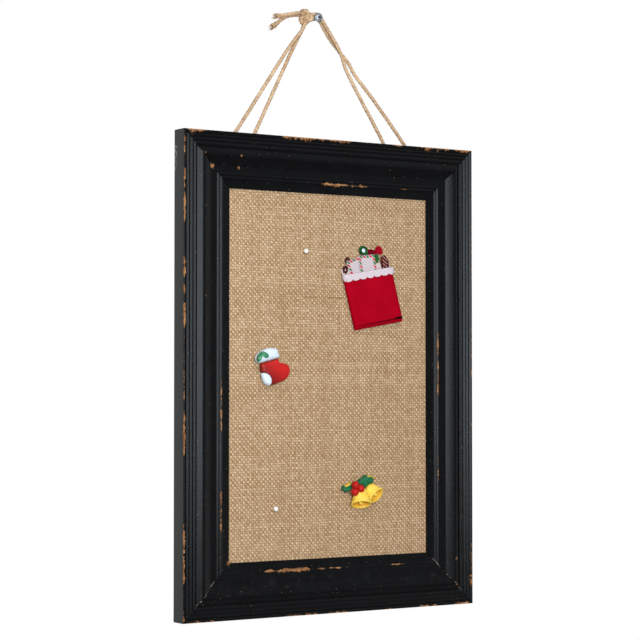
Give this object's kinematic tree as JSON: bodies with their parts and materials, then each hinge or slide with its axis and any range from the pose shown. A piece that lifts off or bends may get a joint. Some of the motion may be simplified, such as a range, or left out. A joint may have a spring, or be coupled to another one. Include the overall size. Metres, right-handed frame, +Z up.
{
  "type": "memo board",
  "caption": "Burlap pin board in a reeded and mitred black wooden frame, hung by doubled jute twine from a wall screw, with decorative pins that pull out.",
  "frame": {"origin": "where the wall screw's axis meets the wall", "axes": "+Z up along the height of the board, +X to the right as seen from the front, +Y into the wall; the burlap faces -Y"},
  "size_m": [0.28, 0.0534, 0.4897],
  "materials": {
    "black_painted_wood": "black satin paint over wood, rubbed through to bare wood on the edges",
    "burlap": "coarse plain-woven natural burlap",
    "fibreboard": "raw soft fibreboard",
    "bright_steel": "bright steel wire and sheet",
    "zinc_steel": "zinc plated",
    "jute_twine": "twisted natural jute",
    "white_enamel": "glossy white",
    "red_clay": "satin red polymer clay",
    "white_clay": "satin white polymer clay",
    "green_clay": "satin green polymer clay",
    "yellow_clay": "satin yellow polymer clay",
    "red_felt": "smooth red felt",
    "white_felt": "soft white felt",
    "paper": "uncoated white paper",
    "brown_clay": "matt brown polymer clay"
  },
  "bodies": {
    "wall_screw": {"wall_screw": "zinc_steel"},
    "board": {"top_rail": "black_painted_wood", "right_stile": "black_painted_wood", "bottom_rail": "black_painted_wood", "left_stile": "black_painted_wood", "v_nail_top_left": "bright_steel", "v_nail_top_right": "bright_steel", "v_nail_bottom_right": "bright_steel", "v_nail_bottom_left": "bright_steel", "framers_point_top_rail_1": "bright_steel", "framers_point_top_rail_2": "bright_steel", "framers_point_right_stile_1": "bright_steel", "framers_point_right_stile_2": "bright_steel", "framers_point_bottom_rail_1": "bright_steel", "framers_point_bottom_rail_2": "bright_steel", "framers_point_left_stile_1": "bright_steel", "framers_point_left_stile_2": "bright_steel", "burlap_cover": "burlap", "core_board": "fibreboard", "twine_staple_left_outer": "bright_steel", "twine_staple_left_inner": "bright_steel", "twine_staple_right_inner": "bright_steel", "twine_staple_right_outer": "bright_steel", "twine_left_loop": "jute_twine", "twine_right_loop": "jute_twine", "twine_knot": "jute_twine", "twine_tail_upper": "jute_twine", "twine_tail_lower": "jute_twine"},
    "upper_ball_pin": {"upper_ball_pin_head": "white_enamel", "upper_ball_pin_needle": "bright_steel"},
    "lower_ball_pin": {"lower_ball_pin_head": "white_enamel", "lower_ball_pin_needle": "bright_steel"},
    "stocking_pin": {"stocking_body": "red_clay", "stocking_heel": "white_clay", "stocking_cuff": "white_clay", "stocking_leaf_left": "green_clay", "stocking_leaf_right": "green_clay", "stocking_tack": "bright_steel"},
    "bells_pin": {"bell_left": "yellow_clay", "bell_right": "yellow_clay", "bell_left_clapper": "yellow_clay", "bell_right_clapper": "yellow_clay", "holly_leaf_left": "green_clay", "holly_leaf_right": "green_clay", "berry_1": "red_clay", "berry_2": "red_clay", "berry_3": "red_clay", "bells_tack": "bright_steel"},
    "pouch_pin": {"pouch_pocket": "red_felt", "pouch_trim": "white_felt", "envelope_left": "paper", "envelope_right": "paper", "letter_wreath": "green_clay", "letter_bow": "red_felt", "letter_holly": "green_clay", "letter_biscuit": "brown_clay", "pouch_tack": "bright_steel"}
  },
  "joints": [
    {"name": "board_sway", "type": "hinge", "parent": "wall_screw", "child": "board", "pos_m": [0, 0, 0], "axis": [0, 1, 0], "range_deg": [-12, 12]},
    {"name": "upper_ball_pin_pull", "type": "slide", "parent": "board", "child": "upper_ball_pin", "axis": [0, -1, 0], "range_m": [0, 0.03]},
    {"name": "lower_ball_pin_pull", "type": "slide", "parent": "board", "child": "lower_ball_pin", "axis": [0, -1, 0], "range_m": [0, 0.03]},
    {"name": "stocking_pin_pull", "type": "slide", "parent": "board", "child": "stocking_pin", "axis": [0, -1, 0], "range_m": [0, 0.03]},
    {"name": "bells_pin_pull", "type": "slide", "parent": "board", "child": "bells_pin", "axis": [0, -1, 0], "range_m": [0, 0.03]},
    {"name": "pouch_pin_pull", "type": "slide", "parent": "board", "child": "pouch_pin", "axis": [0, -1, 0], "range_m": [0, 0.03]}
  ]
}
